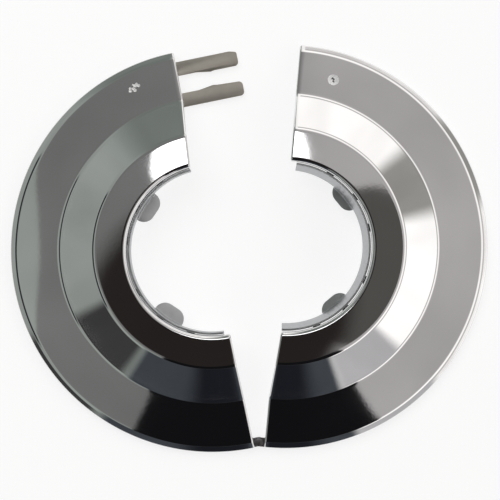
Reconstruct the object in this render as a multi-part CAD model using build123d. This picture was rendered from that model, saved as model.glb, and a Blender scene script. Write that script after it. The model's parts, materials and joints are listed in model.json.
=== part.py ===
from build123d import *
import math
import os

# A split, hinged pipe escutcheon: two pressed half plates that swing on a rivet at the rim,
# a spring fork that snaps over a stud to hold them shut, and a spring band in each half
# whose tongues grip the pipe. It lies face up on the wall plane, swung open.
# All sizes are in millimetres, all angles in degrees.

# The pipe that the plate closes round.
PIPE_RADIUS = 14.0

# Pressed half plate, measured on its outer face from the collar out to the rim.
COLLAR_CLEARANCE = 2.4
COLLAR_DEPTH = 4.5
LIP_ROUND = 0.8
RING_WIDTH = 6.4
RING_SLOPE = 5.0
CREST_ROUND = 1.6
RISER_WIDTH = 7.1
RISER_SLOPE = 40.0
FOOT_ROUND = 2.5
FLANGE_WIDTH = 10.1
FLANGE_SLOPE = 12.0
RIM_HEIGHT = 2.4
RIM_ROUND = 2.0
SHEET = 0.6
LEFT_CUT_PAST = 0.35
RIGHT_CUT_PAST = 0.75
END_RELIEF = 1.1

# Spring band inside each collar, with two tongues bent in towards the pipe.
BAND_SHEET = 0.4
BAND_HEIGHT = 5.0
BAND_DROP = 1.0
BAND_END_ANGLE = 1.0
BAND_STANDOFF = 0.15
LEFT_BAND_LEAN = 0.0
RIGHT_BAND_LEAN = 10.0
BAND_WELD_ANGLES = (18.0, 41.0, 64.0)
BAND_WELD_RADIUS = 0.8
TONGUE_ANGLE = 45.0
TONGUE_WIDTH = 6.2
TONGUE_ROUND = 2.2
TONGUE_SLOPE = 14.0
TONGUE_BEND = 0.8
TONGUE_SQUEEZE = 0.7

# Spring fork welded under the left flange.
FORK_SHEET = 0.6
FORK_FLOOR = 0.5
FORK_INSET = 6.5
FORK_WIDTH = 9.05
FORK_REACH = 12.5
FORK_BASE = 11.0
SLOT_END = 3.0
SLOT_WIDTH = 3.54
TOOTH_REACH = 6.75
TOOTH_GAP = 2.66
TOOTH_RAMP = 2.9
TOOTH_FALL = 0.7
TIP_GAP = 2.94
TIP_LEAD = 0.25
TIP_ROUND = 0.8
FORK_WELD_BACK = 8.6
FORK_WELD_LIFT = 1.3

# Stud welded under the right flange, which the fork snaps over.
STUD_BEFORE_TOOTH = 0.35
STUD_RADIUS = 0.95
STUD_HEAD_RADIUS = 1.9
STUD_HEAD_HEIGHT = 0.25

# Weld marks that show on the front of the flanges.
WELD_RADIUS = 1.2
WELD_BALL = 2.6
WELD_DEPTH = 0.18

# Hinge at the rim: a lug from each half and one rivet.
SEAM = 2.1
HINGE_INSET = 1.0
LUG_RADIUS = 0.9
LUG_SHEET = 0.5
LUG_FLOOR = 0.45
LUG_ROOT = 5.0
RIVET_RADIUS = 0.45
RIVET_HEAD_RADIUS = 0.75
RIVET_HEAD_HEIGHT = 0.4

# Clearances between pieces that slide past or sit in each other.
RUNNING = 0.05
LUG_CLEARANCE = 0.1
FORK_CLEARANCE = 0.35
STUD_CLEARANCE = 0.2
SEAT = 0.02

# How far the halves stand open, and how far the left one leans from upright.
REST_OPENING = 16.7
LEFT_LEAN = 11.6


def rise(start, radius, slope):
    """Height reached at a smaller radius by a straight wall that slopes up from a start point."""
    return start[1] + (start[0] - radius) * math.tan(math.radians(slope))


COLLAR_RADIUS = PIPE_RADIUS + COLLAR_CLEARANCE
CREST_RADIUS = COLLAR_RADIUS + RING_WIDTH
FOOT_RADIUS = CREST_RADIUS + RISER_WIDTH
RIM_RADIUS = FOOT_RADIUS + FLANGE_WIDTH
RIM_CORNER = (RIM_RADIUS, RIM_HEIGHT)
FOOT_CORNER = (FOOT_RADIUS, rise(RIM_CORNER, FOOT_RADIUS, FLANGE_SLOPE))
CREST_CORNER = (CREST_RADIUS, rise(FOOT_CORNER, CREST_RADIUS, RISER_SLOPE))
LIP_CORNER = (COLLAR_RADIUS, rise(CREST_CORNER, COLLAR_RADIUS, RING_SLOPE))
TALLEST = LIP_CORNER[1] + SHEET

GRIP_RADIUS = PIPE_RADIUS - TONGUE_SQUEEZE
FORK_CENTRE = RIM_RADIUS - FORK_INSET
FORK_WELD = (-FORK_WELD_BACK, FORK_CENTRE + FORK_WELD_LIFT)
STUD_PLACE = (TOOTH_REACH - STUD_BEFORE_TOOTH, FORK_CENTRE)
HINGE_RADIUS = RIM_RADIUS - HINGE_INSET
LEFT_PIVOT = (LEFT_CUT_PAST + SEAM / 2, -HINGE_RADIUS)
RIGHT_PIVOT = (-RIGHT_CUT_PAST - SEAM / 2, -HINGE_RADIUS)
CLOSED_SHIFT = LEFT_CUT_PAST + SEAM / 2 + RIGHT_CUT_PAST
BAND_TOP = LIP_CORNER[1] - BAND_DROP
BAND_BOTTOM = BAND_TOP - BAND_HEIGHT
FORK_TOP = FORK_FLOOR + FORK_SHEET
RIGHT_LUG_FLOOR = LUG_FLOOR + LUG_SHEET + LUG_CLEARANCE
RIGHT_LUG_TOP = RIGHT_LUG_FLOOR + LUG_SHEET


def sheet_section(points, rounds, thickness, side):
    """Closed section of bent sheet: a line with rounded corners, thickened to one side."""
    line = FilletPolyline(*points, radius=rounds)
    return make_face(offset(line, thickness, side=side, closed=True).edges())


def spun(section, start, arc):
    """Solid swept round the pipe's axis by a section drawn as radius and height."""
    return Rot(0, 0, start) * revolve(Plane.XZ * section, axis=Axis.Z, revolution_arc=arc)


def flange_height(radius):
    """Height of the flange's outer face at a radius."""
    return rise(RIM_CORNER, radius, FLANGE_SLOPE)


def above_flange_back():
    """Everything above the flange's back face, to trim a weld seat to its cone."""
    back = SHEET / math.cos(math.radians(FLANGE_SLOPE)) + SEAT
    low = flange_height(RIM_RADIUS) - back
    high = flange_height(0) - back
    ceiling = 2 * TALLEST
    section = Polygon((0, high), (RIM_RADIUS, low), (RIM_RADIUS, ceiling), (0, ceiling), align=None)
    return spun(section, 0, 360)


def weld_mark(place):
    """Ball that dents the flange's front over a weld."""
    radius = math.hypot(*place)
    outward = (place[0] / radius, place[1] / radius)
    lift = WELD_BALL - WELD_DEPTH
    lean = math.radians(FLANGE_SLOPE)
    reach = radius + lift * math.sin(lean)
    height = flange_height(radius) + lift * math.cos(lean)
    return Pos(outward[0] * reach, outward[1] * reach, height) * Sphere(WELD_BALL)


def pressed_half(relieved_end, past):
    """Half of the pressed plate on the +X side, cut a little past its middle, one end eased back."""
    points = [(RIM_RADIUS, 0), RIM_CORNER, FOOT_CORNER, CREST_CORNER, LIP_CORNER]
    points.append((COLLAR_RADIUS, LIP_CORNER[1] - COLLAR_DEPTH))
    rounds = [RIM_ROUND, FOOT_ROUND, CREST_ROUND, LIP_ROUND]
    inner = COLLAR_RADIUS - SHEET
    lead = math.degrees(math.asin((past + SHEET) / inner))
    plate = spun(sheet_section(points, rounds, SHEET, Side.LEFT), -90 - lead, 180 + 2 * lead)
    plate = split(plate, Plane.YZ.offset(-past))
    ease = END_RELIEF * (FOOT_RADIUS - inner) / (FOOT_RADIUS - COLLAR_RADIUS)
    wedge = Polygon((-SHEET, FOOT_RADIUS), (0, FOOT_RADIUS), (ease, inner), (-SHEET, inner), align=None)
    cut = Pos(-past, 0, 0) * extrude(wedge, TALLEST)
    return plate - (cut if relieved_end > 0 else mirror(cut, Plane.XZ))


def hinge_lug(floor, pivot):
    """Flat lug that carries on from the rim of the +X half, past its cut, to the rivet."""
    strip = Pos((LUG_ROOT + pivot[0]) / 2, pivot[1]) * Rectangle(LUG_ROOT - pivot[0], 2 * LUG_RADIUS)
    eye = Pos(*pivot) * Circle(LUG_RADIUS)
    hole = Pos(*pivot) * Circle(RIVET_RADIUS + RUNNING)
    return Pos(0, 0, floor) * extrude(strip + eye - hole, LUG_SHEET)


def left_plate():
    """Left half, drawn on the +X side and turned over its cut."""
    turned_pivot = (-LEFT_PIVOT[0], LEFT_PIVOT[1])
    half = mirror(pressed_half(1, LEFT_CUT_PAST) + hinge_lug(LUG_FLOOR, turned_pivot), Plane.YZ)
    return half - weld_mark(FORK_WELD)


def right_plate():
    """Right half, with the stud's weld mark."""
    half = pressed_half(-1, RIGHT_CUT_PAST) + hinge_lug(RIGHT_LUG_FLOOR, RIGHT_PIVOT)
    return half - weld_mark(STUD_PLACE)


def leaning(height, lean):
    """Point on the outer face of a band that leans in from the collar, at a height."""
    return (COLLAR_RADIUS - BAND_STANDOFF - (BAND_TOP - height) * math.tan(math.radians(lean)), height)


def tongue(angle, lean):
    """Rounded tongue bent in from the lower edge of a band."""
    knee = leaning(BAND_BOTTOM - TONGUE_BEND, lean)
    droop = (knee[0] - GRIP_RADIUS) * math.tan(math.radians(TONGUE_SLOPE))
    points = [leaning(BAND_BOTTOM + TONGUE_BEND, lean), knee, (GRIP_RADIUS, knee[1] - droop)]
    bent = sheet_section(points, [TONGUE_BEND], BAND_SHEET, Side.RIGHT)
    spread = math.degrees(TONGUE_WIDTH / GRIP_RADIUS)
    leaf = spun(bent, angle - spread / 2, spread)
    length = 2 * TONGUE_WIDTH
    outline = Pos(GRIP_RADIUS + length / 2, 0) * RectangleRounded(length, TONGUE_WIDTH, TONGUE_ROUND)
    return leaf & (Rot(0, 0, angle) * extrude(outline, TALLEST))


def grip_band(lean):
    """Spring band for the +X half: a strip that leans in from the collar, its welds and its tongues."""
    across = (-BAND_SHEET * math.cos(math.radians(lean)), BAND_SHEET * math.sin(math.radians(lean)))
    outer = [leaning(BAND_TOP, lean), leaning(BAND_BOTTOM, lean)]
    inner = [(x + across[0], y + across[1]) for x, y in reversed(outer)]
    band = spun(Polygon(*outer, *inner, align=None), BAND_END_ANGLE - 90, 180 - 2 * BAND_END_ANGLE)
    weld_start = leaning(LIP_CORNER[1] - COLLAR_DEPTH / 2, lean)
    weld = extrude(Circle(BAND_WELD_RADIUS), COLLAR_RADIUS - weld_start[0] + BAND_SHEET)
    weld = Pos(weld_start[0] - BAND_SHEET / 2, 0, weld_start[1]) * Rot(0, 90, 0) * weld
    weld = weld & extrude(Circle(COLLAR_RADIUS - SEAT), TALLEST)
    for side in (1, -1):
        band += tongue(side * TONGUE_ANGLE, lean)
        for angle in BAND_WELD_ANGLES:
            band += Rot(0, 0, side * angle) * weld
    return band


def weld_seat(place, floor):
    """Round seat that stands on a floor height and meets the flange's back."""
    post = Pos(place[0], place[1], floor) * extrude(Circle(WELD_RADIUS), TALLEST)
    return post - above_flange_back()


def fork_outline():
    """Flat outline of the fork: base, two prongs and the tooth inside each prong."""
    top = FORK_CENTRE + FORK_WIDTH / 2
    bottom = FORK_CENTRE - FORK_WIDTH / 2

    def inner_edge(side, lead):
        """Inner edge of one prong, from the slot's end to its tip."""
        slot = FORK_CENTRE + side * SLOT_WIDTH / 2
        tooth = FORK_CENTRE + side * TOOTH_GAP / 2
        after = FORK_CENTRE + side * TIP_GAP / 2
        return [
            (-SLOT_END, slot),
            (TOOTH_REACH - TOOTH_RAMP, slot),
            (TOOTH_REACH, tooth),
            (TOOTH_REACH + TOOTH_FALL, after),
            (FORK_REACH, after + side * lead),
        ]

    upper = inner_edge(1, 0)
    lower = inner_edge(-1, TIP_LEAD)
    points = [(-FORK_BASE, bottom), (FORK_REACH, bottom)]
    points += lower[::-1] + upper
    points += [(FORK_REACH, top), (-FORK_BASE, top)]
    outline = make_face(Polyline(*points, close=True))
    tips = outline.vertices().filter_by(lambda v: v.X > FORK_REACH - TIP_ROUND)
    outline = fillet(tips, TIP_ROUND)
    room = Pos(CLOSED_SHIFT, 0) * Circle(RIM_RADIUS - SHEET - FORK_CLEARANCE)
    return outline & room


def latch_fork():
    """Spring fork, with the seat that is welded to the left flange's back."""
    fork = Pos(0, 0, FORK_FLOOR) * extrude(fork_outline(), FORK_SHEET)
    return fork + weld_seat(FORK_WELD, FORK_TOP)


def keeper_stud():
    """Headed stud that hangs from the right flange into the fork."""
    head_floor = FORK_FLOOR - STUD_CLEARANCE - STUD_HEAD_HEIGHT
    stud = Pos(*STUD_PLACE, head_floor) * extrude(Circle(STUD_HEAD_RADIUS), STUD_HEAD_HEIGHT)
    shank = FORK_TOP + STUD_CLEARANCE - head_floor
    stud += Pos(*STUD_PLACE, head_floor) * extrude(Circle(STUD_RADIUS), shank)
    return stud + weld_seat(STUD_PLACE, FORK_TOP + STUD_CLEARANCE)


def hinge_rivet():
    """Rivet through both lugs, set in the left half."""
    low = LUG_FLOOR - RIVET_HEAD_HEIGHT
    neck = RIGHT_LUG_TOP + LUG_CLEARANCE
    rivet = Pos(0, 0, low) * extrude(Circle(RIVET_HEAD_RADIUS), RIVET_HEAD_HEIGHT)
    rivet += Pos(0, 0, LUG_FLOOR) * extrude(Circle(RIVET_RADIUS), neck - LUG_FLOOR)
    rivet += Pos(0, 0, neck) * extrude(Circle(RIVET_HEAD_RADIUS), RIVET_HEAD_HEIGHT)
    return Pos(*LEFT_PIVOT) * rivet


# The left half stands on its own axis; the right one swings about the rivet.
left_place = Rot(0, 0, LEFT_LEAN)
right_place = left_place * Pos(*LEFT_PIVOT) * Rot(0, 0, -REST_OPENING) * Pos(*RIGHT_PIVOT).inverse()

pieces = {
    "left_plate": left_place * left_plate(),
    "right_plate": right_place * right_plate(),
    "left_grip_band": left_place * Rot(0, 0, 180) * grip_band(LEFT_BAND_LEAN),
    "right_grip_band": right_place * grip_band(RIGHT_BAND_LEAN),
    "latch_fork": left_place * latch_fork(),
    "keeper_stud": right_place * keeper_stud(),
    "hinge_rivet": left_place * hinge_rivet(),
}

# The origin is the middle of the open plate's footprint on the wall.
footprint = Compound(list(pieces.values())).bounding_box().center()
to_origin = Pos(-footprint.X, -footprint.Y, 0)

os.makedirs("parts", exist_ok=True)
for name, piece in pieces.items():
    export_step(to_origin * piece, f"parts/{name}.step")

hinge_axis = to_origin * left_place * Pos(*LEFT_PIVOT)
left_axis = to_origin * left_place
right_axis = to_origin * right_place
print("hinge axis", hinge_axis.position)
print("left bore axis", left_axis.position)
print("right bore axis", right_axis.position)
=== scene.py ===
"""Split, hinged pipe escutcheon in chrome plate and spring steel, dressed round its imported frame.

Every length is in metres and every angle in radians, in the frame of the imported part:
+Z out of the wall along the pipe, +Y from the hinge towards the latch.
"""
import json
import math

import bmesh
import bpy
from bpy.props import FloatProperty, FloatVectorProperty, IntProperty, PointerProperty
from mathutils import Matrix, Vector


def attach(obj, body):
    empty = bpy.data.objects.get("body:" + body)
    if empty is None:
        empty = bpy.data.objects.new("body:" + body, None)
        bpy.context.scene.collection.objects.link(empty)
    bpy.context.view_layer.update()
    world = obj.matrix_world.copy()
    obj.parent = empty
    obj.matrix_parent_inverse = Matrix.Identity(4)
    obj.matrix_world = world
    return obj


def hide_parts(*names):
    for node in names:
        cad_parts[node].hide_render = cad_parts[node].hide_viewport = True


bl_info = {
    "name": "Split pipe escutcheon",
    "version": (1, 0, 0),
    "blender": (4, 5, 0),
    "location": "View3D > Sidebar > Escutcheon",
    "description": "Builds a split, hinged pipe escutcheon in chrome plate and spring steel",
    "category": "Add Mesh",
}

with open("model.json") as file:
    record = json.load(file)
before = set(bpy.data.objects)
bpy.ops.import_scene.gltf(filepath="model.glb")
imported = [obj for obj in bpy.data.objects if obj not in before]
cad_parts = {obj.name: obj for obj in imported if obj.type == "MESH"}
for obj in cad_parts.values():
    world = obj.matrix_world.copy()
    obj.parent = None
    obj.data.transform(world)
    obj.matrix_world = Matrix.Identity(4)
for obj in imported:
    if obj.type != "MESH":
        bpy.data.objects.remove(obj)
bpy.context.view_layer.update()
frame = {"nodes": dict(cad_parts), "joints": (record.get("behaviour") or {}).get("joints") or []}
HINGE = Vector(frame["joints"][0]["pos_m"][:2])

LEFT, RIGHT = -1, 1
BODY = {LEFT: "left_half", RIGHT: "right_half"}
SIDE_NAME = {LEFT: "left", RIGHT: "right"}
MM = 0.001

# How finely the pressed sheet is divided along its section, round its arc and over a cut edge.
SECTION_STEPS = 220
ARC_STEPS = 133
ROLL_STEPS = 6
FILLET_POINTS = 12
# How finely a lug's eye and hole and the balls of the weld dents are divided.
EYE_STEPS = 24
HOLE_STEPS = 32
BALL_DIVISIONS = 5
# Places of the bends in the list of the section's corners.
SHOULDER, FOOT, CREST, LIP = 2, 3, 4, 5
SHARP_ANGLE = math.radians(24)
WELD_DISTANCE = 1e-6
FLAT_ANGLE = math.radians(0.5)
# Edges sharper than this angle are eased, in so many steps.
EASED_ANGLE = math.radians(40)
EASED_STEPS = 2
# Painted dark reflection at the core of a weld's dent, how far the core's edge wanders and over which shares
# of its radius it fades.
PAINTED_DARK_REFLECTION = (0.06, 0.06, 0.065, 1.0)
CORE_WANDER = 4
CORE_INNER, CORE_OUTER = 0.8, 1.2
# Zenith angles between which the studio's overhead gives way to its sides.
OVERHEAD_END = math.radians(40)
SIDES_START = math.radians(54)
# The floor's own colour, and how strongly it glows where it is seen.
FLOOR_MATT = (0.3, 0.3, 0.3, 1.0)
FLOOR_GLOW = 0.78
# Side and place of the square soft lamp.
LAMP_SIZE = 0.5
LAMP_PLACE = (-0.25, 0.35, 0.6)


def length(name, millimetres, description):
    """A size that a user may change, given in millimetres and kept in metres."""
    return FloatProperty(name=name, description=description, default=millimetres * MM,
                         min=0.0, precision=5, subtype="DISTANCE", unit="LENGTH")


def angle(name, degrees, description):
    """An angle that a user may change, given in degrees and kept in radians."""
    return FloatProperty(name=name, description=description, default=math.radians(degrees),
                         subtype="ANGLE", unit="ROTATION")


def colour(name, value, description):
    """A linear colour that a user may change."""
    return FloatVectorProperty(name=name, description=description, default=value,
                               min=0.0, max=1.0, size=3, subtype="COLOR")


class PlateSizes(bpy.types.PropertyGroup):
    """The pressed half plate, measured on its outer face from the collar out to the rim."""
    collar_radius: length("Collar radius", 16.4, "Inner face of the collar round the pipe")
    collar_depth: length("Collar depth", 4.5, "How far the collar is turned down")
    lip_round: length("Lip round", 0.8, "Bend between ring and collar")
    ring_width: length("Ring width", 6.4, "Width of the raised ring")
    ring_slope: angle("Ring slope", 5, "Fall of the raised ring")
    crest_round: length("Crest round", 1.6, "Bend between riser and ring")
    riser_width: length("Riser width", 7.1, "Width of the steep wall")
    riser_slope: angle("Riser slope", 40, "Fall of the steep wall")
    foot_round: length("Foot round", 2.5, "Bend between flange and riser")
    flange_width: length("Flange width", 10.09, "Width of the outer flange")
    flange_slope: angle("Flange slope", 12, "Fall of the outer flange")
    flange_crown: length("Flange crown", 0.08, "How far the flange bulges between its bends")
    riser_crown: length("Riser crown", 0.06, "How far the steep wall bulges between its bends")
    ring_crown: length("Ring crown", 0.03, "How far the ring bulges between its bends")
    rim_height: length("Rim height", 2.38, "Height of the turned-down rim")
    rim_round: length("Rim round", 2.0, "Bend between rim and flange")
    edge_slope: angle("Edge slope", 36, "Fall of the narrow band that the bend leaves at the rim's edge")
    edge_round: length("Edge round", 0.3, "Bend between that band and the rim's wall")
    sheet: length("Sheet", 0.6, "Thickness of the sheet")
    left_past: length("Left cut past", 0.35, "How far the left half reaches past its middle")
    right_past: length("Right cut past", 0.75, "How far the right half reaches past its middle")
    end_relief: length("End relief", 1.1, "How far one cut end is eased back at the collar")
    edge_roll: length("Edge roll", 0.4, "Round that shearing leaves on the front of a cut edge")


class HingeSizes(bpy.types.PropertyGroup):
    """How the halves stand about the rivet, and the lugs that carry it."""
    lean: angle("Lean", 11.6, "How far the left half leans from upright")
    opening: angle("Opening", 16.7, "How far the halves stand open")
    seam: length("Seam", 2.1, "Gap between the cut edges when they are parallel")
    inset: length("Inset", 1.0, "How far the rivet lies inside the rim")
    lug_radius: length("Lug radius", 0.9, "Round of a lug's eye")
    lug_hole: length("Lug hole", 0.5, "Radius of the hole for the rivet")
    lug_sheet: length("Lug sheet", 0.5, "Thickness of a lug")
    lug_root: length("Lug root", 2.5, "How far a lug runs under the rim")
    left_floor: length("Left lug floor", 0.45, "Height of the left lug's underside")
    right_floor: length("Right lug floor", 1.05, "Height of the right lug's underside")
    lug_ease: length("Lug ease", 0.06, "Round on the edges of a lug")


class MarkSizes(bpy.types.PropertyGroup):
    """The dents that the spot welds leave on the front of the flanges."""
    stud_across: length("Stud mark across", 6.4, "Stud mark's distance from the right cut")
    stud_along: length("Stud mark along", 33.5, "Stud mark's distance along the right cut")
    stud_ball: length("Stud mark ball", 2.6, "Radius of the round dent over the stud")
    stud_depth: length("Stud mark depth", 0.26, "Depth of the round dent over the stud")
    stud_core: length("Stud mark core", 0.4, "Radius of the dark core of the dent over the stud")
    fork_across: length("Fork mark across", 8.6, "Fork mark's distance from the left cut")
    fork_along: length("Fork mark along", 34.8, "Fork mark's distance along the left cut")
    fork_ball: length("Fork mark ball", 0.36, "Radius of each small dent over the fork")
    fork_depth: length("Fork mark depth", 0.14, "Depth of each small dent over the fork")
    fork_spread: length("Fork mark spread", 0.95, "How far the small dents scatter")
    fork_core: length("Fork mark core", 0.01, "Radius of the dark core among the dents over the fork")
    fork_count: IntProperty(name="Fork mark count", description="Small dents over the fork",
                            default=14, min=1)
    seed: IntProperty(name="Seed", description="Seed for the scatter of the small dents", default=4)


class Finishes(bpy.types.PropertyGroup):
    """Colours of the metals, the rounds on their edges and the trim of the bands."""
    chrome: colour("Chrome", (0.80, 0.80, 0.80), "Bright chrome plate")
    band: colour("Band steel", (0.52, 0.53, 0.54), "Dull plated spring strip")
    fork: colour("Fork steel", (0.54, 0.51, 0.45), "Satin spring steel")
    # Partly the steel's own tone and partly a painted dark reflection; the lugs take it in place of their
    # chrome.
    plain: colour("Plain steel", (0.20, 0.19, 0.19), "Plain steel of the stud, the rivet and the lugs")
    # Pale colour of the weld dents: a painted glint that stands in for the light they catch.
    frost: colour("Weld frost", (0.92, 0.92, 0.92), "Frosted dents of the spot welds")
    band_ease: length("Band ease", 0.05, "Round on the edges of a band")
    band_setback: length("Band setback", 0.15, "How far a band stops short of the eased cut end")
    fork_ease: length("Fork ease", 0.05, "Round on the edges of the fork")
    pin_ease: length("Pin ease", 0.06, "Round on the edges of the stud and the rivet")


class StageSizes(bpy.types.PropertyGroup):
    """Camera, floor and light."""
    camera_height: length("Camera height", 320, "Height of the camera over the wall plane")
    view_width: length("View width", 99.5, "Width of the wall plane that the picture covers")
    camera_right: FloatProperty(name="Camera right", description="Sideways place of the camera",
                                default=0.18 * MM, precision=5, subtype="DISTANCE", unit="LENGTH")
    camera_up: FloatProperty(name="Camera up", description="Upward place of the camera in the picture",
                             default=-0.2 * MM, precision=5, subtype="DISTANCE", unit="LENGTH")
    floor_size: length("Floor size", 3000, "Side of the floor")
    floor_drop: length("Floor drop", 0.05, "How far the floor lies under the rim")
    key_power: FloatProperty(name="Key power", description="Power of the soft lamp", default=1.6,
                             subtype="POWER", unit="POWER")


class EscutcheonSettings(bpy.types.PropertyGroup):
    """Everything that a user may change."""
    plate: PointerProperty(type=PlateSizes)
    hinge: PointerProperty(type=HingeSizes)
    marks: PointerProperty(type=MarkSizes)
    finish: PointerProperty(type=Finishes)
    stage: PointerProperty(type=StageSizes)


def settings():
    """The settings of the current scene."""
    return bpy.context.scene.escutcheon


class TreeMaker:
    """Adds nodes to a tree: a socket among the values is linked, anything else is set."""

    def __init__(self, tree):
        self.tree = tree

    def feed(self, socket, value):
        """Links or sets one input."""
        if isinstance(value, bpy.types.NodeSocket):
            self.tree.links.new(value, socket)
        else:
            socket.default_value = value

    def add(self, kind, inputs=None, **options):
        """One node, with its options and its inputs by name."""
        node = self.tree.nodes.new(kind)
        for option, value in options.items():
            setattr(node, option, value)
        for name, value in (inputs or {}).items():
            self.feed(node.inputs[name], value)
        return node

    def math(self, operation, *values, clamp=False):
        """One math node and its result."""
        node = self.tree.nodes.new("ShaderNodeMath")
        node.operation = operation
        node.use_clamp = clamp
        for socket, value in zip(node.inputs, values):
            self.feed(socket, value)
        return node.outputs["Value"]

    def smooth(self, value, low, high):
        """A smooth step from 0 at low to 1 at high."""
        inputs = {"Value": value, "From Min": low, "From Max": high}
        return self.add("ShaderNodeMapRange", inputs, interpolation_type="SMOOTHSTEP").outputs["Result"]

    def mix(self, share, first, second):
        """A mix of two colours."""
        node = self.add("ShaderNodeMix", data_type="RGBA")
        for name, value in (("Factor_Float", share), ("A_Color", first), ("B_Color", second)):
            socket = next(s for s in node.inputs if s.identifier == name)
            self.feed(socket, value)
        return next(s for s in node.outputs if s.identifier == "Result_Color")


def rise(start, radius, slope):
    """Height reached at a smaller radius by a straight wall that slopes up from a start point."""
    return start[1] + (start[0] - radius) * math.tan(slope)


def rim_radius(plate):
    """Outer radius of the plate."""
    return plate.collar_radius + plate.ring_width + plate.riser_width + plate.flange_width


def tangent_corner(bend, first, second):
    """From a bend's centre to the corner where its tangents of two slopes meet, as radius and height."""
    lean = (first + second) / 2
    return Vector((math.sin(lean), math.cos(lean))) * bend / math.cos((second - first) / 2)


def section_corners(plate):
    """Corners of the plate's section as radius and height, from the rim's edge to the collar's."""
    foot_radius = rim_radius(plate) - plate.flange_width
    crest_radius = foot_radius - plate.riser_width
    rim = (rim_radius(plate), plate.rim_height)
    foot = (foot_radius, rise(rim, foot_radius, plate.flange_slope))
    crest = (crest_radius, rise(foot, crest_radius, plate.riser_slope))
    lip = (plate.collar_radius, rise(crest, plate.collar_radius, plate.ring_slope))
    collar = (plate.collar_radius, lip[1] - plate.collar_depth)
    upright = math.pi / 2
    bend = Vector(rim) - tangent_corner(plate.rim_round, plate.flange_slope, upright)
    edge = bend + tangent_corner(plate.rim_round, plate.edge_slope, upright)
    shoulder = bend + tangent_corner(plate.rim_round, plate.flange_slope, plate.edge_slope)
    return [(rim[0], 0.0), edge, shoulder, foot, crest, lip, collar]


def past_middle(side):
    """How far a half reaches past its own middle."""
    plate = settings().plate
    return plate.left_past if side == LEFT else plate.right_past


def rivet_spot(side):
    """Place of the rivet in a half's own frame."""
    hinge = settings().hinge
    return Vector((-side * (past_middle(side) + hinge.seam / 2), hinge.inset - rim_radius(settings().plate)))


def half_place(side):
    """Where a half stands: its pipe axis, turned about the rivet."""
    hinge = settings().hinge
    turn = hinge.lean - (hinge.opening if side == RIGHT else 0.0)
    rotation = Matrix.Rotation(turn, 4, "Z")
    return Matrix.Translation(HINGE.to_3d() - rotation @ rivet_spot(side).to_3d()) @ rotation


def indexed(maker, data_type, values):
    """A value for each point of a curve, by the point's index."""
    index = maker.add("GeometryNodeInputIndex").outputs["Index"]
    node = maker.add("GeometryNodeIndexSwitch", {"Index": index}, data_type=data_type)
    while len(node.index_switch_items) < len(values):
        node.index_switch_items.new()
    for number, value in enumerate(values):
        maker.feed(node.inputs[str(number)], value)
    return node.outputs["Output"]


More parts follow.
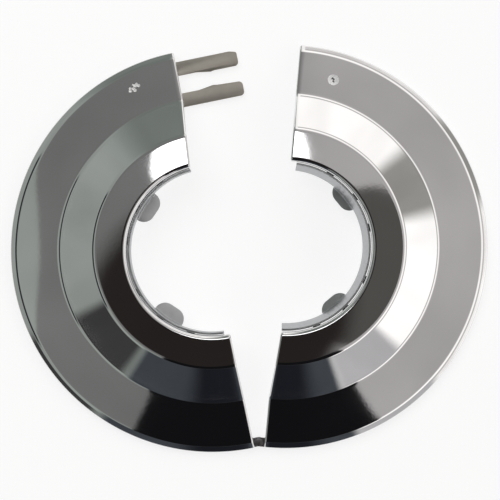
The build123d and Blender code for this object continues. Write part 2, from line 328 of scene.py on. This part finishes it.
def pressed_sheet_tree(corner_count):
    """Geometry nodes for a pressed half plate.

    A flat block of sheet is bent along a filleted section and swept round the pipe's axis. One cut end is
    eased back, the front of both cut edges is rolled over, and the weld's dents are taken out.
    """
    tree = bpy.data.node_groups.new("Pressed sheet", "GeometryNodeTree")
    sockets = tree.interface
    sockets.new_socket("Geometry", in_out="INPUT", socket_type="NodeSocketGeometry")
    for number in range(corner_count):
        sockets.new_socket(f"Corner {number}", in_out="INPUT", socket_type="NodeSocketVector")
        sockets.new_socket(f"Round {number}", in_out="INPUT", socket_type="NodeSocketFloat")
    for name in ("Sheet", "Start", "Past", "Relief", "Relief from", "Relief to", "Flange crown",
                 "Riser crown", "Ring crown", "Edge roll", "Mark ball", "Mark spread"):
        sockets.new_socket(name, in_out="INPUT", socket_type="NodeSocketFloat")
    for name in ("Mark count", "Mark seed"):
        sockets.new_socket(name, in_out="INPUT", socket_type="NodeSocketInt")
    sockets.new_socket("Mark place", in_out="INPUT", socket_type="NodeSocketVector")
    for name in ("Material", "Mark material"):
        sockets.new_socket(name, in_out="INPUT", socket_type="NodeSocketMaterial")
    sockets.new_socket("Geometry", in_out="OUTPUT", socket_type="NodeSocketGeometry")

    maker = TreeMaker(tree)
    given = maker.add("NodeGroupInput").outputs
    numbers = range(corner_count)

    # The section: a line through the corners, each rounded.
    line = maker.add("GeometryNodeCurvePrimitiveLine").outputs["Curve"]
    line = maker.add("GeometryNodeResampleCurve", {"Curve": line, "Count": corner_count}).outputs["Curve"]
    corners = indexed(maker, "VECTOR", [given[f"Corner {n}"] for n in numbers])
    rounds = indexed(maker, "FLOAT", [given[f"Round {n}"] for n in numbers])
    line = maker.add("GeometryNodeSetPosition", {"Geometry": line, "Position": corners}).outputs["Geometry"]
    section = maker.add("GeometryNodeFilletCurve", {"Curve": line, "Radius": rounds}, mode="POLY")
    section.inputs["Count"].default_value = FILLET_POINTS

    # The block of sheet, of side 1 about the origin: round the arc along X, along the section along Y,
    # back to front along Z.
    block = maker.add("GeometryNodeMeshCube", {
        "Vertices X": ARC_STEPS + 2 * ROLL_STEPS, "Vertices Y": SECTION_STEPS, "Vertices Z": 2,
    }).outputs["Mesh"]
    place = maker.add("GeometryNodeInputPosition").outputs["Position"]
    place = maker.add("ShaderNodeSeparateXYZ", {"Vector": place}).outputs
    column = maker.math("MULTIPLY", maker.math("ADD", place["X"], 0.5), ARC_STEPS + 2 * ROLL_STEPS - 1)
    along = maker.math("ADD", place["Y"], 0.5)
    front = maker.math("ADD", place["Z"], 0.5)

    # The roll over each cut edge is a quarter circle of columns.
    quarter = math.pi / 2
    first = maker.math("DIVIDE", column, ROLL_STEPS, clamp=True)
    middle = maker.math("DIVIDE", maker.math("SUBTRACT", column, ROLL_STEPS), ARC_STEPS - 1, clamp=True)
    last = maker.math("SUBTRACT", column, ARC_STEPS + ROLL_STEPS - 1)
    last = maker.math("DIVIDE", last, ROLL_STEPS, clamp=True)
    first = maker.math("MULTIPLY", first, quarter)
    last = maker.math("MULTIPLY", last, quarter)
    drop = maker.math("ADD", maker.math("SINE", first), maker.math("COSINE", last))
    drop = maker.math("SUBTRACT", 2.0, drop)
    ends = maker.math("SUBTRACT", maker.math("SINE", last), maker.math("COSINE", first))
    ends = maker.math("MULTIPLY", maker.math("ADD", ends, 1.0), given["Edge roll"])

    # Where a point lies on the section, and how far it stands off along the section's normal.
    sample = maker.add("GeometryNodeSampleCurve", {
        "Curves": section.outputs["Curve"], "Factor": along,
    }).outputs
    spot = maker.add("ShaderNodeSeparateXYZ", {"Vector": sample["Position"]}).outputs
    tangent = maker.add("ShaderNodeSeparateXYZ", {"Vector": sample["Tangent"]}).outputs
    # The faces between the bends are slightly crowned.
    bulge = 0.0
    for outer, name in ((SHOULDER, "Flange crown"), (FOOT, "Riser crown"), (CREST, "Ring crown")):
        high = maker.add("ShaderNodeSeparateXYZ", {"Vector": given[f"Corner {outer}"]}).outputs["X"]
        low = maker.add("ShaderNodeSeparateXYZ", {"Vector": given[f"Corner {outer + 1}"]}).outputs["X"]
        centre = maker.math("MULTIPLY", maker.math("ADD", high, low), 0.5)
        half = maker.math("SUBTRACT", high, centre)
        across = maker.math("DIVIDE", maker.math("SUBTRACT", spot["X"], centre), half)
        hump = maker.math("SUBTRACT", 1.0, maker.math("MULTIPLY", across, across), clamp=True)
        bulge = maker.math("MULTIPLY_ADD", hump, given[name], bulge)
    back = maker.math("MULTIPLY", maker.math("SUBTRACT", 1.0, front), given["Sheet"])
    rolled = maker.math("MULTIPLY", maker.math("MULTIPLY", front, drop), given["Edge roll"])
    off = maker.math("SUBTRACT", maker.math("SUBTRACT", bulge, back), rolled)
    radius = maker.math("MULTIPLY_ADD", tangent["Z"], off, spot["X"])
    height = maker.math("SUBTRACT", spot["Z"], maker.math("MULTIPLY", tangent["X"], off))

    # The arc runs past the half circle to straight cuts, one of them eased back towards the collar.
    share = maker.math("SUBTRACT", given["Relief from"], radius)
    share = maker.math("DIVIDE", share, maker.math("SUBTRACT", given["Relief from"], given["Relief to"]))
    eased = maker.math("MULTIPLY", maker.math("MAXIMUM", share, 0.0), given["Relief"])
    eased = maker.math("SUBTRACT", eased, given["Past"])
    start = maker.math("ADD", given["Start"], maker.math("ARCSINE", maker.math("DIVIDE", eased, radius)))
    end = maker.math("ADD", given["Start"], math.pi)
    end = maker.math("ADD", end, maker.math("ARCSINE", maker.math("DIVIDE", given["Past"], radius)))
    sweep = maker.math("MULTIPLY", maker.math("SUBTRACT", end, start), radius)
    sweep = maker.math("MULTIPLY_ADD", given["Edge roll"], -2.0, sweep)
    run = maker.math("MULTIPLY_ADD", middle, sweep, ends)
    turn = maker.math("ADD", start, maker.math("DIVIDE", run, radius))
    bent = maker.add("ShaderNodeCombineXYZ", {
        "X": maker.math("MULTIPLY", radius, maker.math("COSINE", turn)),
        "Y": maker.math("MULTIPLY", radius, maker.math("SINE", turn)),
        "Z": height,
    }).outputs["Vector"]
    plate = maker.add("GeometryNodeSetPosition", {"Geometry": block, "Position": bent}).outputs["Geometry"]
    plate = maker.add("GeometryNodeSetMaterial", {"Geometry": plate, "Material": given["Material"]})

    # The weld's dents: balls scattered about one place.
    spread = maker.add("ShaderNodeCombineXYZ", {"X": given["Mark spread"], "Y": given["Mark spread"]})
    scatter = maker.add("FunctionNodeRandomValue", {"Seed": given["Mark seed"]}, data_type="FLOAT_VECTOR")
    scatter.inputs["Min"].default_value = (-1.0, -1.0, 0.0)
    offset = maker.add("ShaderNodeVectorMath", operation="MULTIPLY_ADD")
    maker.feed(offset.inputs[0], scatter.outputs["Value"])
    maker.feed(offset.inputs[1], spread.outputs["Vector"])
    maker.feed(offset.inputs[2], given["Mark place"])
    points = maker.add("GeometryNodePoints", {
        "Count": given["Mark count"], "Position": offset.outputs["Vector"],
    }).outputs["Points"]
    ball = maker.add("GeometryNodeMeshIcoSphere", {
        "Radius": given["Mark ball"], "Subdivisions": BALL_DIVISIONS,
    })
    ball = maker.add("GeometryNodeSetMaterial", {
        "Geometry": ball.outputs["Mesh"], "Material": given["Mark material"],
    }).outputs["Geometry"]
    balls = maker.add("GeometryNodeInstanceOnPoints", {"Points": points, "Instance": ball})
    dented = maker.add("GeometryNodeMeshBoolean", operation="DIFFERENCE", solver="MANIFOLD")
    maker.feed(dented.inputs["Mesh 1"], plate.outputs["Geometry"])
    maker.feed(dented.inputs["Mesh 2"], balls.outputs["Instances"])

    whole = maker.add("GeometryNodeRealizeInstances", {"Geometry": dented.outputs["Mesh"]})
    whole = maker.add("GeometryNodeSetShadeSmooth", {"Geometry": whole.outputs["Geometry"]})
    maker.add("NodeGroupOutput", {"Geometry": whole.outputs["Geometry"]})
    return tree


def new_object(name, data):
    """An object at the origin, in the scene."""
    thing = bpy.data.objects.new(name, data)
    bpy.context.scene.collection.objects.link(thing)
    return thing


def plain_mesh(thing):
    """The object's mesh with its modifiers in it, as a plain mesh."""
    graph = bpy.context.evaluated_depsgraph_get()
    return bpy.data.meshes.new_from_object(thing.evaluated_get(graph), depsgraph=graph)


def settle(thing):
    """Puts the modifiers' result in the object's own mesh and removes them."""
    mesh = plain_mesh(thing)
    thing.modifiers.clear()
    thing.data = mesh
    return thing


def from_tree(name, tree, values):
    """An object whose plain mesh comes from a geometry node tree and its named inputs."""
    thing = new_object(name, bpy.data.meshes.new(name))
    modifier = thing.modifiers.new("Shape", "NODES")
    modifier.node_group = tree
    for item in tree.interface.items_tree:
        if item.in_out == "INPUT" and item.name in values:
            modifier[item.identifier] = values[item.name]
    return settle(thing)


def dress(thing, body, slot, *nodes):
    """Seats a finished piece on its body, in place of its nodes."""
    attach(thing, body)
    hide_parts(*nodes)


def chrome_plate():
    """Bright plate over pressed steel: near mirror, with the sheet's faint waviness and wiping haze."""
    material, maker, shader = metal("Chrome plate", settings().finish.chrome)
    place = maker.add("ShaderNodeTexCoord").outputs["Object"]
    haze = noise(maker, place, scale=140.0, detail=4.0)
    maker.feed(shader.inputs["Roughness"], scaled(maker, haze, low=0.03, high=0.075))
    wave = noise(maker, place, scale=75.0, detail=1.0)
    grain = noise(maker, place, scale=1500.0, detail=2.0)
    height = maker.math("MULTIPLY_ADD", grain, 0.02, wave)
    emboss(maker, shader, height, distance=0.07 * MM)
    return material


def weld_frost(centre, core):
    """Pale skin in the dents of a spot weld as a painted glint, with a painted dark reflection in a core
    about its centre.
    """
    material, maker, shader = metal("Weld frost", settings().finish.frost)
    place = maker.add("ShaderNodeTexCoord").outputs["Object"]
    grit = noise(maker, place, scale=2400.0, detail=3.0)
    away = maker.add("ShaderNodeVectorMath", operation="DISTANCE")
    maker.feed(away.inputs[0], place)
    maker.feed(away.inputs[1], centre)
    aside = maker.math("SUBTRACT", grit, 0.5)
    ragged = maker.math("MULTIPLY_ADD", aside, CORE_WANDER * core, away.outputs["Value"])
    clear = maker.smooth(ragged, CORE_INNER * core, CORE_OUTER * core)
    # The painted dark reflection at the core fades out into the painted glint of the dent.
    skin = maker.mix(clear, PAINTED_DARK_REFLECTION, (*settings().finish.frost, 1.0))
    maker.feed(shader.inputs["Base Color"], skin)
    shader.inputs["Metallic"].default_value = 0.2
    maker.feed(shader.inputs["Roughness"], scaled(maker, grit, low=0.25, high=0.6))
    emboss(maker, shader, grit, distance=0.05 * MM)
    return material


def band_steel():
    """Dull plated strip, a little blotchy."""
    material, maker, shader = metal("Band steel", settings().finish.band)
    place = maker.add("ShaderNodeTexCoord").outputs["Object"]
    blotch = noise(maker, place, scale=420.0, detail=4.0)
    base = toned(maker, blotch, settings().finish.band, dark=0.82, light=1.12)
    maker.feed(shader.inputs["Base Color"], base)
    maker.feed(shader.inputs["Roughness"], scaled(maker, blotch, low=0.38, high=0.52))
    emboss(maker, shader, noise(maker, place, scale=2600.0, detail=3.0), distance=0.006 * MM)
    return material


def fork_steel():
    """Satin spring steel, rolled along the fork's length."""
    material, maker, shader = metal("Fork steel", settings().finish.fork)
    place = maker.add("ShaderNodeTexCoord").outputs["Object"]
    turned = maker.add("ShaderNodeMapping", {"Vector": place})
    turned.inputs["Rotation"].default_value = (0.0, 0.0, -settings().hinge.lean)
    turned.inputs["Scale"].default_value = (0.06, 1.0, 1.0)
    rolled = noise(maker, turned.outputs["Vector"], scale=5200.0, detail=3.0)
    blotch = noise(maker, place, scale=380.0, detail=3.0)
    base = toned(maker, blotch, settings().finish.fork, dark=0.86, light=1.1)
    maker.feed(shader.inputs["Base Color"], base)
    maker.feed(shader.inputs["Roughness"], scaled(maker, rolled, low=0.3, high=0.5))
    emboss(maker, shader, rolled, distance=0.004 * MM)
    return material


def plain_steel():
    """Plain steel, darkened: partly the steel's own tone and partly a painted dark reflection, which also
    stands on the lugs in place of their chrome.
    """
    material, maker, shader = metal("Plain steel", settings().finish.plain)
    place = maker.add("ShaderNodeTexCoord").outputs["Object"]
    blotch = noise(maker, place, scale=700.0, detail=4.0)
    base = toned(maker, blotch, settings().finish.plain, dark=0.75, light=1.2)
    maker.feed(shader.inputs["Base Color"], base)
    maker.feed(shader.inputs["Roughness"], scaled(maker, blotch, low=0.3, high=0.5))
    return material


def metal(name, base):
    """A metal with its shader and a maker for its tree."""
    material = bpy.data.materials.new(name)
    material.use_nodes = True
    shader = material.node_tree.nodes["Principled BSDF"]
    shader.inputs["Base Color"].default_value = (*base, 1.0)
    shader.inputs["Metallic"].default_value = 1.0
    return material, TreeMaker(material.node_tree), shader


def noise(maker, place, scale, detail):
    """Noise from 0 to 1 over a piece."""
    inputs = {"Vector": place, "Scale": scale, "Detail": detail}
    node = maker.add("ShaderNodeTexNoise", inputs)
    return next(s for s in node.outputs if s.identifier in ("Fac", "Factor"))


def scaled(maker, value, low, high):
    """A share from 0 to 1 spread between two numbers."""
    return maker.add("ShaderNodeMapRange", {"Value": value, "To Min": low, "To Max": high}).outputs["Result"]


def toned(maker, share, base, dark, light):
    """A colour between a darker and a lighter tone of a base."""
    tones = [(*(min(1.0, part * tone) for part in base), 1.0) for tone in (dark, light)]
    return maker.mix(share, *tones)


def emboss(maker, shader, height, distance):
    """Bump of a height from 0 to 1 and a depth in metres."""
    bump = maker.add("ShaderNodeBump", {"Height": height, "Distance": distance})
    maker.feed(shader.inputs["Normal"], bump.outputs["Normal"])


def lug(side, material_slot):
    """Flat lug of one half, from under its rim to the rivet, in the half's own frame."""
    hinge = settings().hinge
    rivet = rivet_spot(side)
    root = side * hinge.lug_root
    eye = [rivet + Vector((math.cos(turn), math.sin(turn))) * hinge.lug_radius
           for turn in (math.pi * (0.5 + step / EYE_STEPS) for step in range(EYE_STEPS + 1))]
    if side == LEFT:
        eye = [Vector((2 * rivet.x - point.x, point.y)) for point in eye]
    outline = eye + [Vector((root, rivet.y - hinge.lug_radius)), Vector((root, rivet.y + hinge.lug_radius))]
    hole = [rivet + Vector((math.cos(turn), math.sin(turn))) * hinge.lug_hole
            for turn in (math.tau * step / HOLE_STEPS for step in range(HOLE_STEPS))]
    flat = bpy.data.curves.new("Lug", "CURVE")
    flat.dimensions = "2D"
    flat.fill_mode = "BOTH"
    flat.extrude = hinge.lug_sheet / 2 - hinge.lug_ease
    flat.bevel_depth = hinge.lug_ease
    flat.bevel_resolution = 0
    flat.offset = -hinge.lug_ease
    for loop in (outline, hole):
        spline = flat.splines.new("POLY")
        spline.points.add(len(loop) - 1)
        spline.use_cyclic_u = True
        for point, spot in zip(spline.points, loop):
            point.co = (spot.x, spot.y, 0.0, 1.0)
    carrier = new_object("Lug", flat)
    mesh = plain_mesh(carrier)
    bpy.data.objects.remove(carrier)
    floor = hinge.left_floor if side == LEFT else hinge.right_floor
    mesh.transform(Matrix.Translation((0.0, 0.0, floor + hinge.lug_sheet / 2)))
    for face in mesh.polygons:
        face.material_index = material_slot
    return mesh


def joined(first, second):
    """Adds a second mesh to a first one, with the second's close points merged and its faces turned out."""
    shape = bmesh.new()
    shape.from_mesh(second)
    bmesh.ops.remove_doubles(shape, verts=shape.verts, dist=WELD_DISTANCE)
    bmesh.ops.recalc_face_normals(shape, faces=shape.faces)
    shape.from_mesh(first)
    shape.to_mesh(first)
    shape.free()


def over_flange(across, along, lift):
    """A place over the flange's face, in the half's own frame."""
    plate = settings().plate
    radius = math.hypot(across, along)
    lift += plate.flange_crown
    rim = (rim_radius(plate), plate.rim_height)
    reach = radius + lift * math.sin(plate.flange_slope)
    height = rise(rim, radius, plate.flange_slope) + lift * math.cos(plate.flange_slope)
    return Vector((across / radius * reach, along / radius * reach, height))


def weld_spot(side, lift=0.0):
    """Place of a half's weld mark on its flange's face, or at a lift over it."""
    marks = settings().marks
    if side == LEFT:
        return over_flange(-marks.fork_across, marks.fork_along, lift)
    return over_flange(marks.stud_across, marks.stud_along, lift)


def plate_values(side, material, mark_material):
    """Inputs of the pressed sheet tree for one half."""
    plate = settings().plate
    marks = settings().marks
    corners = section_corners(plate)
    rounds = [0.0, plate.edge_round, plate.rim_round, plate.foot_round, plate.crest_round,
              plate.lip_round, 0.0]
    start = math.pi / 2 if side == LEFT else -math.pi / 2
    values = {
        "Sheet": plate.sheet, "Start": start, "Past": past_middle(side), "Relief": plate.end_relief,
        "Relief from": corners[FOOT][0], "Relief to": corners[LIP][0], "Flange crown": plate.flange_crown,
        "Riser crown": plate.riser_crown, "Ring crown": plate.ring_crown, "Edge roll": plate.edge_roll,
        "Mark seed": marks.seed, "Material": material, "Mark material": mark_material,
    }
    for number, (corner, bend) in enumerate(zip(corners, rounds)):
        values[f"Corner {number}"] = (corner[0], 0.0, corner[1])
        values[f"Round {number}"] = bend
    if side == LEFT:
        values["Mark ball"] = marks.fork_ball
        values["Mark count"] = marks.fork_count
        values["Mark spread"] = marks.fork_spread
        values["Mark place"] = weld_spot(side, marks.fork_ball - marks.fork_depth)
    else:
        values["Mark ball"] = marks.stud_ball
        values["Mark count"] = 1
        values["Mark spread"] = 0.0
        values["Mark place"] = weld_spot(side, marks.stud_ball - marks.stud_depth)
    return values


def trimmed(shape, place, outward):
    """Cuts off what lies past a plane and closes the cut."""
    parts = shape.verts[:] + shape.edges[:] + shape.faces[:]
    cut = bmesh.ops.bisect_plane(shape, geom=parts, plane_co=place, plane_no=outward, clear_outer=True)
    rim = [part for part in cut["geom_cut"] if isinstance(part, bmesh.types.BMEdge)]
    bmesh.ops.edgeloop_fill(shape, edges=rim)
    bmesh.ops.recalc_face_normals(shape, faces=shape.faces)


def eased_copy(node, name, ease, material, trim=None):
    """A piece with a CAD node's shape, its points merged, its edges rounded and one end trimmed."""
    shape = bmesh.new()
    shape.from_mesh(frame["nodes"][node].data)
    bmesh.ops.remove_doubles(shape, verts=shape.verts, dist=WELD_DISTANCE)
    if trim:
        trimmed(shape, *trim)
    bmesh.ops.dissolve_limit(shape, angle_limit=FLAT_ANGLE, verts=shape.verts, edges=shape.edges)
    mesh = bpy.data.meshes.new(name)
    shape.to_mesh(mesh)
    shape.free()
    if "custom_normal" in mesh.attributes:
        mesh.attributes.remove(mesh.attributes["custom_normal"])
    mesh.materials.clear()
    mesh.materials.append(material)
    thing = new_object(name, mesh)
    bevel = thing.modifiers.new("Eased edges", "BEVEL")
    bevel.width = ease
    bevel.segments = EASED_STEPS
    bevel.limit_method = "ANGLE"
    bevel.angle_limit = EASED_ANGLE
    settle(thing)
    thing.data.shade_smooth()
    thing.data.set_sharp_from_angle(angle=SHARP_ANGLE)
    return thing


def soft_disc(maker, direction, azimuth, zenith, radius, softness):
    """Share of a round soft card about a direction, in degrees."""
    turn, tip = math.radians(azimuth), math.radians(zenith)
    middle = (math.cos(turn) * math.sin(tip), math.sin(turn) * math.sin(tip), math.cos(tip))
    node = maker.add("ShaderNodeVectorMath", operation="DOT_PRODUCT")
    maker.feed(node.inputs[0], direction)
    maker.feed(node.inputs[1], middle)
    away = maker.math("ARCCOSINE", maker.math("MINIMUM", node.outputs["Value"], 1.0))
    return maker.smooth(away, math.radians(radius + softness), math.radians(radius - softness))


def soft_upright(maker, turn, tip, azimuth, half_width, zenith, half_height, softness):
    """Share of an upright soft card about an azimuth and a zenith angle, in degrees."""
    aside = maker.math("SUBTRACT", turn, math.radians(azimuth))
    aside = maker.math("ABSOLUTE", maker.math("WRAP", aside, math.pi, -math.pi))
    above = maker.math("ABSOLUTE", maker.math("SUBTRACT", tip, math.radians(zenith)))
    soft = math.radians(softness)
    width = maker.smooth(aside, math.radians(half_width) + soft, math.radians(half_width) - soft)
    tall = maker.smooth(above, math.radians(half_height) + soft, math.radians(half_height) - soft)
    return maker.math("MULTIPLY", width, tall)


def studio_colour(maker):
    """What the metal sees: a grey overhead, pale sides, plain cards before them and one round lamp."""
    direction = maker.add("ShaderNodeTexCoord").outputs["Generated"]
    parts = maker.add("ShaderNodeSeparateXYZ", {"Vector": direction}).outputs
    turn = maker.math("ARCTAN2", parts["Y"], parts["X"])
    tip = maker.math("ARCCOSINE", parts["Z"])

    # Overhead and sides are darker at the left, and all is a little uneven.
    darker, lighter = (0.185, 0.187, 0.183, 1), (0.46, 0.44, 0.44, 1)
    overhead = maker.mix(maker.smooth(parts["X"], -0.12, 0.14), darker, lighter)
    uneven = maker.math("MULTIPLY_ADD", noise(maker, direction, scale=3.0, detail=2.0), 0.5, 0.75)
    darker, lighter = (0.32, 0.355, 0.33, 1), (1.25, 1.22, 1.2, 1)
    sides = maker.mix(maker.smooth(parts["X"], -0.25, 0.12), darker, lighter)
    seen = maker.mix(maker.smooth(tip, OVERHEAD_END, SIDES_START), overhead, sides)

    # Each card: its share of the view, and its colour. A disc has its azimuth, zenith, radius and softness,
    # and an upright card its azimuth, half width, zenith, half height and softness, in degrees.
    cards = [
        (soft_disc(maker, direction, 180, 75, 43.6, 0.5), (0.32, 0.345, 0.325, 1)),
        (soft_upright(maker, turn, tip, 180, 28, 57, 9, 2.0), (0.035, 0.037, 0.04, 1)),
        (soft_upright(maker, turn, tip, 112, 16, 80, 36, 8.0), (0.18, 0.2, 0.185, 1)),
        (soft_upright(maker, turn, tip, 10, 75, 73, 7, 1.5), (0.6, 0.58, 0.57, 1)),
        (soft_upright(maker, turn, tip, 26, 13, 82, 18, 4.0), (0.35, 0.34, 0.32, 1)),
        (soft_upright(maker, turn, tip, 306, 13, 82, 20, 2.5), (0.5, 0.49, 0.5, 1)),
        (soft_upright(maker, turn, tip, 219, 14, 84, 12, 3.0), (0.05, 0.05, 0.05, 1)),
        (soft_upright(maker, turn, tip, 264, 29, 80, 26, 2.5), (0.055, 0.062, 0.072, 1)),
        (soft_upright(maker, turn, tip, 271, 10, 80, 26, 5.0), (0.012, 0.013, 0.017, 1)),
        (soft_upright(maker, turn, tip, 272, 28, 36, 19, 1.0), (0.007, 0.007, 0.008, 1)),
        (soft_disc(maker, direction, 347, 14, 11.3, 0.6), (0.09, 0.086, 0.08, 1)),
        (soft_disc(maker, direction, 243, 10, 14.2, 2.5), (0.022, 0.018, 0.017, 1)),
        (soft_disc(maker, direction, 0, 0, 6.0, 1.2), (0.017, 0.016, 0.016, 1)),
        (soft_disc(maker, direction, 102, 13, 7, 0.6), (2.5, 2.5, 2.5, 1)),
    ]
    for share, shade in cards:
        seen = maker.mix(share, seen, shade)
    varied = maker.add("ShaderNodeVectorMath", operation="SCALE")
    maker.feed(varied.inputs[0], seen)
    maker.feed(varied.inputs["Scale"], uneven)
    return varied.outputs["Vector"]


def studio_world():
    """The studio round the object."""
    world = bpy.data.worlds.new("Studio")
    bpy.context.scene.world = world
    world.use_nodes = True
    world.node_tree.nodes.clear()
    maker = TreeMaker(world.node_tree)
    studio = maker.add("ShaderNodeBackground", {"Color": studio_colour(maker)})
    maker.add("ShaderNodeOutputWorld", {"Surface": studio.outputs[0]})


def floor_white():
    """A white floor that shows plain white where it is seen, less a faint shadow."""
    material = bpy.data.materials.new("Floor white")
    material.use_nodes = True
    material.node_tree.nodes.clear()
    maker = TreeMaker(material.node_tree)
    path = maker.add("ShaderNodeLightPath").outputs
    seen = maker.math("MAXIMUM", path["Is Camera Ray"], path["Is Glossy Ray"])
    seen = maker.math("MAXIMUM", seen, path["Is Transmission Ray"])
    matt = maker.add("ShaderNodeBsdfDiffuse", {"Color": FLOOR_MATT})
    glow = maker.add("ShaderNodeEmission", {"Strength": maker.math("MULTIPLY", seen, FLOOR_GLOW)})
    both = maker.add("ShaderNodeAddShader")
    maker.feed(both.inputs[0], matt.outputs[0])
    maker.feed(both.inputs[1], glow.outputs[0])
    maker.add("ShaderNodeOutputMaterial", {"Surface": both.outputs[0]})
    return material


class ESCUTCHEON_OT_plates(bpy.types.Operator):
    """Build both pressed half plates with their hinge lugs"""
    bl_idname = "escutcheon.plates"
    bl_label = "Half plates"

    def execute(self, context):
        chrome = chrome_plate()
        # The lugs are painted dark with this steel, standing in for the dark reflection in their chrome.
        lug_painted_dark = plain_steel()
        tree = pressed_sheet_tree(len(section_corners(settings().plate)))
        for side in (LEFT, RIGHT):
            name = f"{SIDE_NAME[side]}_half_plate"
            centre = half_place(side) @ weld_spot(side)
            marks = settings().marks
            # The weld dents' material: a painted glint with a painted dark reflection at its core.
            frost = weld_frost(centre, marks.stud_core if side == RIGHT else marks.fork_core)
            plate = from_tree(name, tree, plate_values(side, chrome, frost))
            plate.data.materials.append(lug_painted_dark)
            joined(plate.data, lug(side, len(plate.data.materials) - 1))
            plate.data.transform(half_place(side))
            plate.data.shade_smooth()
            plate.data.set_sharp_from_angle(angle=SHARP_ANGLE)
            dress(plate, BODY[side], "chrome_plate", f"{SIDE_NAME[side]}_plate")
        return {"FINISHED"}


class ESCUTCHEON_OT_bands(bpy.types.Operator):
    """Build the spring band of each half, with its tongues"""
    bl_idname = "escutcheon.bands"
    bl_label = "Grip bands"

    def execute(self, context):
        steel = band_steel()
        finish = settings().finish
        for side in (LEFT, RIGHT):
            node = f"{SIDE_NAME[side]}_grip_band"
            end = settings().plate.end_relief - past_middle(side) + finish.band_setback
            place = half_place(side)
            cut = (place @ Vector((side * end, 0.0, 0.0)), place.to_3x3() @ Vector((-side, 0.0, 0.0)))
            band = eased_copy(node, f"{SIDE_NAME[side]}_spring_band", finish.band_ease, steel, cut)
            dress(band, BODY[side], "spring_steel", node)
        return {"FINISHED"}


class ESCUTCHEON_OT_latch(bpy.types.Operator):
    """Build the spring fork and the stud that it snaps over"""
    bl_idname = "escutcheon.latch"
    bl_label = "Latch"

    def execute(self, context):
        finish = settings().finish
        fork = eased_copy("latch_fork", "spring_fork", finish.fork_ease, fork_steel())
        dress(fork, BODY[LEFT], "fork_steel", "latch_fork")
        stud = eased_copy("keeper_stud", "headed_stud", finish.pin_ease, plain_steel())
        dress(stud, BODY[RIGHT], "plain_steel", "keeper_stud")
        return {"FINISHED"}


class ESCUTCHEON_OT_rivet(bpy.types.Operator):
    """Build the rivet that joins the halves"""
    bl_idname = "escutcheon.rivet"
    bl_label = "Hinge rivet"

    def execute(self, context):
        rivet = eased_copy("hinge_rivet", "rim_rivet", settings().finish.pin_ease, plain_steel())
        dress(rivet, BODY[LEFT], "plain_steel", "hinge_rivet")
        return {"FINISHED"}


class ESCUTCHEON_OT_stage(bpy.types.Operator):
    """Set the floor, the light and the camera"""
    bl_idname = "escutcheon.stage"
    bl_label = "Stage"

    def execute(self, context):
        stage = settings().stage
        half = stage.floor_size / 2
        sheet = bpy.data.meshes.new("Floor")
        corners = [(-half, -half), (half, -half), (half, half), (-half, half)]
        sheet.from_pydata([(x, y, -stage.floor_drop) for x, y in corners], [], [(0, 1, 2, 3)])
        sheet.materials.append(floor_white())
        new_object("floor", sheet)
        studio_world()

        lamp = bpy.data.lights.new("Soft lamp", "AREA")
        lamp.energy = stage.key_power
        lamp.size = LAMP_SIZE
        key = new_object("soft_lamp", lamp)
        key.location = LAMP_PLACE
        key.rotation_euler = (-key.location).to_track_quat("-Z", "Y").to_euler()
        key.visible_glossy = False

        eye = bpy.data.cameras.new("Camera")
        eye.sensor_fit = "HORIZONTAL"
        eye.angle = 2 * math.atan(stage.view_width / 2 / stage.camera_height)
        camera = new_object("camera", eye)
        camera.location = (stage.camera_right, stage.camera_up, stage.camera_height)
        context.scene.camera = camera
        context.scene.view_settings.view_transform = "Standard"
        return {"FINISHED"}


class ESCUTCHEON_PT_panel(bpy.types.Panel):
    """Lists the steps and the sizes"""
    bl_idname = "ESCUTCHEON_PT_panel"
    bl_label = "Split pipe escutcheon"
    bl_space_type = "VIEW_3D"
    bl_region_type = "UI"
    bl_category = "Escutcheon"

    def draw(self, context):
        for step in STEPS:
            self.layout.operator(step.bl_idname)
        kept = settings()
        for group in (kept.plate, kept.hinge, kept.marks, kept.finish, kept.stage):
            box = self.layout.box()
            for name in group.__annotations__:
                box.prop(group, name)


GROUPS = (PlateSizes, HingeSizes, MarkSizes, Finishes, StageSizes, EscutcheonSettings)
STEPS = (ESCUTCHEON_OT_plates, ESCUTCHEON_OT_bands, ESCUTCHEON_OT_latch, ESCUTCHEON_OT_rivet,
         ESCUTCHEON_OT_stage)
CLASSES = GROUPS + STEPS + (ESCUTCHEON_PT_panel,)


def register():
    """Adds the classes and the settings."""
    for kind in CLASSES:
        bpy.utils.register_class(kind)
    bpy.types.Scene.escutcheon = PointerProperty(type=EscutcheonSettings)


def unregister():
    """Takes the settings and the classes away again."""
    del bpy.types.Scene.escutcheon
    for kind in reversed(CLASSES):
        bpy.utils.unregister_class(kind)


def main():
    """Builds the escutcheon and its stage."""
    register()
    bpy.ops.escutcheon.plates()
    bpy.ops.escutcheon.bands()
    bpy.ops.escutcheon.latch()
    bpy.ops.escutcheon.rivet()
    bpy.ops.escutcheon.stage()


if __name__ == "__main__":
    main()
